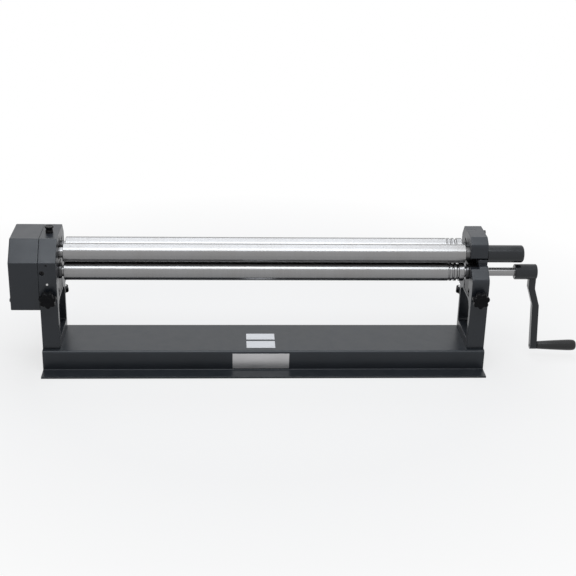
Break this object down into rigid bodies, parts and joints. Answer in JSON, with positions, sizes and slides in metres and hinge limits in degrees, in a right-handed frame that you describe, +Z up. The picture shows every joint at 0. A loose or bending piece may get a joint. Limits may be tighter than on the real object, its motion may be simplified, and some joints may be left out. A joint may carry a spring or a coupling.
{
  "type": "slip roll machine",
  "caption": "Hand-cranked bench slip roll with geared pinch rolls, inclined rear bending roll, wire grooves and a release cap for taking closed cylinders off.",
  "frame": {"origin": "centre of the base underside", "axes": "+X along the rolls towards the crank, +Y to the back where the rear roll is, +Z up"},
  "size_m": [1.8315, 0.308, 0.444],
  "materials": {
    "machine_paint": "semi-gloss dark grey enamel on castings",
    "base_paint": "semi-gloss dark grey enamel on bent plate",
    "lever_paint": "gloss dark grey paint",
    "roll_steel": "fine ground",
    "bright_steel": "machined",
    "gear_steel": "machined, greased",
    "black_oxide": "black oxide",
    "block_iron": "machined",
    "bronze": "machined",
    "bush_iron": "sintered, oiled and turned",
    "knob_plastic": "gloss black",
    "grip_plastic": "satin black",
    "plate_silver": "satin, bare",
    "label_sheet": "satin, bare"
  },
  "bodies": {
    "frame": {"base_plate": "base_paint", "base_ribs": "base_paint", "standard_bolts": "bright_steel", "standard_washers": "bright_steel", "left_standard": "machine_paint", "right_standard": "machine_paint", "top_left_housing": "block_iron", "housing_screws": "black_oxide", "gear_cover": "machine_paint", "cover_studs": "bright_steel", "cover_screws": "black_oxide", "plunger_body": "black_oxide", "plunger_spring": "bright_steel", "ball_oiler": "bright_steel", "front_plugs": "black_oxide", "front_plate": "plate_silver", "top_label": "label_sheet", "cap_pivot_bolt": "black_oxide"},
    "lower_carriage": {"lower_left_block": "block_iron", "lower_right_block": "block_iron", "lower_left_bush": "bush_iron", "lower_right_bush": "bush_iron"},
    "lower_roll": {"lower_roll": "roll_steel", "lower_gear": "gear_steel", "lower_gear_key": "bright_steel", "lower_gear_screw": "black_oxide", "crank_arm": "lever_paint", "crank_key": "bright_steel", "crank_set_screw": "black_oxide", "grip_spindle": "bright_steel"},
    "grip": {"crank_grip": "grip_plastic"},
    "top_tilt": {"top_left_bush": "bush_iron", "top_right_bush": "bush_iron", "lift_bar": "lever_paint", "lift_bar_screw": "black_oxide"},
    "top_roll": {"top_roll": "roll_steel", "top_gear": "gear_steel", "top_gear_key": "bright_steel", "top_gear_screw": "black_oxide"},
    "rear_carriage": {"rear_left_block": "block_iron", "rear_right_block": "block_iron", "rear_left_bush": "bush_iron", "rear_right_bush": "bush_iron"},
    "rear_roll": {"rear_roll": "roll_steel"},
    "left_wedge": {"left_wedge": "bright_steel"},
    "right_wedge": {"right_wedge": "bright_steel"},
    "front_left_adjuster": {"front_left_screw": "bright_steel", "front_left_knob": "knob_plastic"},
    "front_right_adjuster": {"front_right_screw": "bright_steel", "front_right_knob": "knob_plastic"},
    "rear_left_adjuster": {"rear_left_screw": "bright_steel", "rear_left_knob": "knob_plastic"},
    "rear_right_adjuster": {"rear_right_screw": "bright_steel", "rear_right_knob": "knob_plastic"},
    "release_cap": {"release_cap": "machine_paint"},
    "cap_pad": {"cap_lock_pad": "bronze"},
    "cap_lock": {"cap_lock_screw": "black_oxide"},
    "plunger": {"plunger_pin": "bright_steel", "plunger_knob": "knob_plastic"}
  },
  "joints": [
    {"name": "lower_roll_lift", "type": "slide", "parent": "frame", "child": "lower_carriage", "axis": [0, 0, 1], "range_m": [-0.0026, 0.0012]},
    {"name": "crank_turn", "type": "hinge", "parent": "lower_carriage", "child": "lower_roll", "pos_m": [0, 0, 0.3045], "axis": [1, 0, 0], "continuous": true},
    {"name": "grip_spin", "type": "hinge", "parent": "lower_roll", "child": "grip", "pos_m": [0.96, 0, 0.0425], "axis": [1, 0, 0], "continuous": true},
    {"name": "top_roll_tilt", "type": "hinge", "parent": "frame", "child": "top_tilt", "pos_m": [-0.6635, 0, 0.366], "axis": [0, -1, 0], "range_deg": [0, 1.6]},
    {"name": "top_roll_turn", "type": "hinge", "parent": "top_tilt", "child": "top_roll", "pos_m": [0, 0, 0.366], "axis": [1, 0, 0], "continuous": true},
    {"name": "rear_roll_adjust", "type": "slide", "parent": "frame", "child": "rear_carriage", "axis": [0, -0.309, 0.9511], "range_m": [-0.032, 0.008]},
    {"name": "rear_roll_turn", "type": "hinge", "parent": "rear_carriage", "child": "rear_roll", "pos_m": [0, 0.066, 0.363], "axis": [1, 0, 0], "continuous": true},
    {"name": "left_wedge_slide", "type": "slide", "parent": "frame", "child": "left_wedge", "axis": [0, 1, 0], "range_m": [-0.013, 0.006]},
    {"name": "right_wedge_slide", "type": "slide", "parent": "frame", "child": "right_wedge", "axis": [0, 1, 0], "range_m": [-0.013, 0.006]},
    {"name": "front_left_turn", "type": "hinge", "parent": "left_wedge", "child": "front_left_adjuster", "pos_m": [-0.6775, -0.07, 0.248], "axis": [0, 1, 0], "range_deg": [-2674.28, 1234.28]},
    {"name": "front_right_turn", "type": "hinge", "parent": "right_wedge", "child": "front_right_adjuster", "pos_m": [0.6775, -0.07, 0.248], "axis": [0, 1, 0], "range_deg": [-2674.28, 1234.28]},
    {"name": "rear_left_turn", "type": "hinge", "parent": "rear_carriage", "child": "rear_left_adjuster", "pos_m": [-0.6635, 0.066, 0.363], "axis": [0, -0.309, 0.9511], "range_deg": [-5760, 1440]},
    {"name": "rear_right_turn", "type": "hinge", "parent": "rear_carriage", "child": "rear_right_adjuster", "pos_m": [0.6635, 0.066, 0.363], "axis": [0, -0.309, 0.9511], "range_deg": [-5760, 1440]},
    {"name": "cap_swing", "type": "hinge", "parent": "frame", "child": "release_cap", "pos_m": [0.69, 0.107, 0.356], "axis": [-1, 0, 0], "range_deg": [0, 80]},
    {"name": "cap_pad_slide", "type": "slide", "parent": "release_cap", "child": "cap_pad", "axis": [1, 0, 0], "range_m": [0, 0.0045]},
    {"name": "cap_lock_turn", "type": "hinge", "parent": "cap_pad", "child": "cap_lock", "pos_m": [0.7, 0.084, 0.407], "axis": [1, 0, 0], "range_deg": [0, 1080]},
    {"name": "plunger_pull", "type": "slide", "parent": "frame", "child": "plunger", "axis": [0, 0, 1], "range_m": [0, 0.008], "stiffness_N_per_m": 600, "springref_m": -0.008, "deforming": ["plunger_spring"]}
  ],
  "couplings": [
    {"joint": "left_wedge_slide", "follows": "lower_roll_lift", "ratio": 5},
    {"joint": "right_wedge_slide", "follows": "lower_roll_lift", "ratio": 5},
    {"joint": "front_left_turn", "follows": "lower_roll_lift", "rad_per_m": 17952},
    {"joint": "front_right_turn", "follows": "lower_roll_lift", "rad_per_m": 17952},
    {"joint": "rear_left_turn", "follows": "rear_roll_adjust", "rad_per_m": 3141.6},
    {"joint": "rear_right_turn", "follows": "rear_roll_adjust", "rad_per_m": 3141.6},
    {"joint": "top_roll_turn", "follows": "crank_turn", "ratio": -1},
    {"joint": "cap_swing", "follows": "top_roll_tilt", "ratio": 50},
    {"joint": "cap_lock_turn", "follows": "cap_pad_slide", "rad_per_m": 4188.8}
  ]
}
